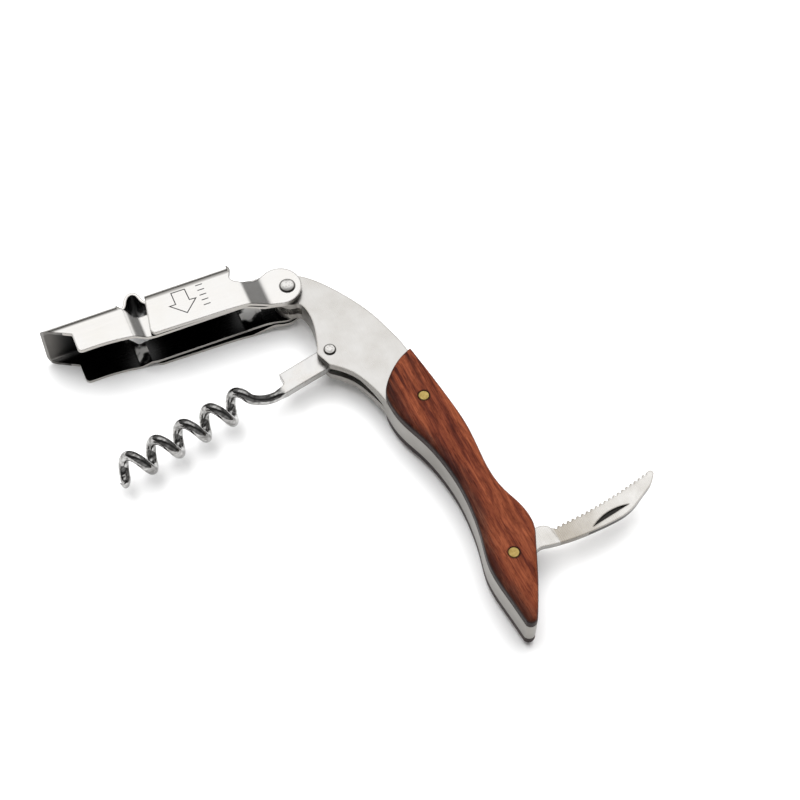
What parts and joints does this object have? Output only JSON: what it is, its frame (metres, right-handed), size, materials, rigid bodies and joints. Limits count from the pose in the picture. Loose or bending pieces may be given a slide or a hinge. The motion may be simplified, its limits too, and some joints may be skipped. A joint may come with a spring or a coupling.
{
  "type": "waiters corkscrew",
  "caption": "Folding waiters corkscrew with wood scales, two-step lever with cap lifter, worm and serrated foil knife, lying open on its side.",
  "frame": {"origin": "centre of the open tool's bounding box, on the surface it lies on", "axes": "+X along the handle from the lever rivet to the tip, +Y the knife side, +Z through the thickness"},
  "size_m": [0.1258, 0.121, 0.0148],
  "materials": {
    "stainless": "fine brushed stainless",
    "rivet_steel": "polished steel",
    "spring_steel": "bright spring steel",
    "worm_chrome": "bright hard chrome",
    "blade_steel": "polished stainless",
    "rosewood": "oiled reddish rosewood",
    "brass": "ground flush"
  },
  "bodies": {
    "handle": {"handle_frame": "stainless", "scale_top": "rosewood", "scale_bottom": "rosewood", "scale_pin": "brass", "knife_pin": "brass", "pin_bush": "stainless", "knife_washers": "brass", "spring_pin": "stainless", "tip_pin": "stainless", "worm_spring": "spring_steel", "lever_rivet": "rivet_steel", "worm_rivet": "rivet_steel", "lever_bush": "stainless"},
    "long_lever": {"inner_lever": "stainless", "lever_spring": "spring_steel"},
    "short_lever": {"outer_lever": "stainless"},
    "screw": {"worm": "worm_chrome"},
    "knife": {"knife_blade": "blade_steel"}
  },
  "joints": [
    {"name": "lever_fold", "type": "hinge", "parent": "handle", "child": "long_lever", "pos_m": [-0.04763, 0.00166, 0.0074], "axis": [0, 0, 1], "range_deg": [-25, 97.9]},
    {"name": "worm_fold", "type": "hinge", "parent": "handle", "child": "screw", "pos_m": [-0.02623, 0.00386, 0.0074], "axis": [0, 0, 1], "range_deg": [-21.6, 84.2]},
    {"name": "lever_push", "type": "hinge", "parent": "long_lever", "child": "short_lever", "pos_m": [-0.04763, 0.00166, 0.0074], "axis": [0, 0, 1], "range_deg": [0, 3.5], "stiffness_Nm_per_rad": 0.2, "springref_deg": -11.46, "deforming": ["lever_spring"]},
    {"name": "knife_fold", "type": "hinge", "parent": "handle", "child": "knife", "pos_m": [0.04547, 0.01836, 0.0074], "axis": [0, 0, 1], "range_deg": [-90, 71]}
  ],
  "couplings": [
    {"joint": "worm_fold", "follows": "lever_fold", "ratio": 0.858}
  ]
}
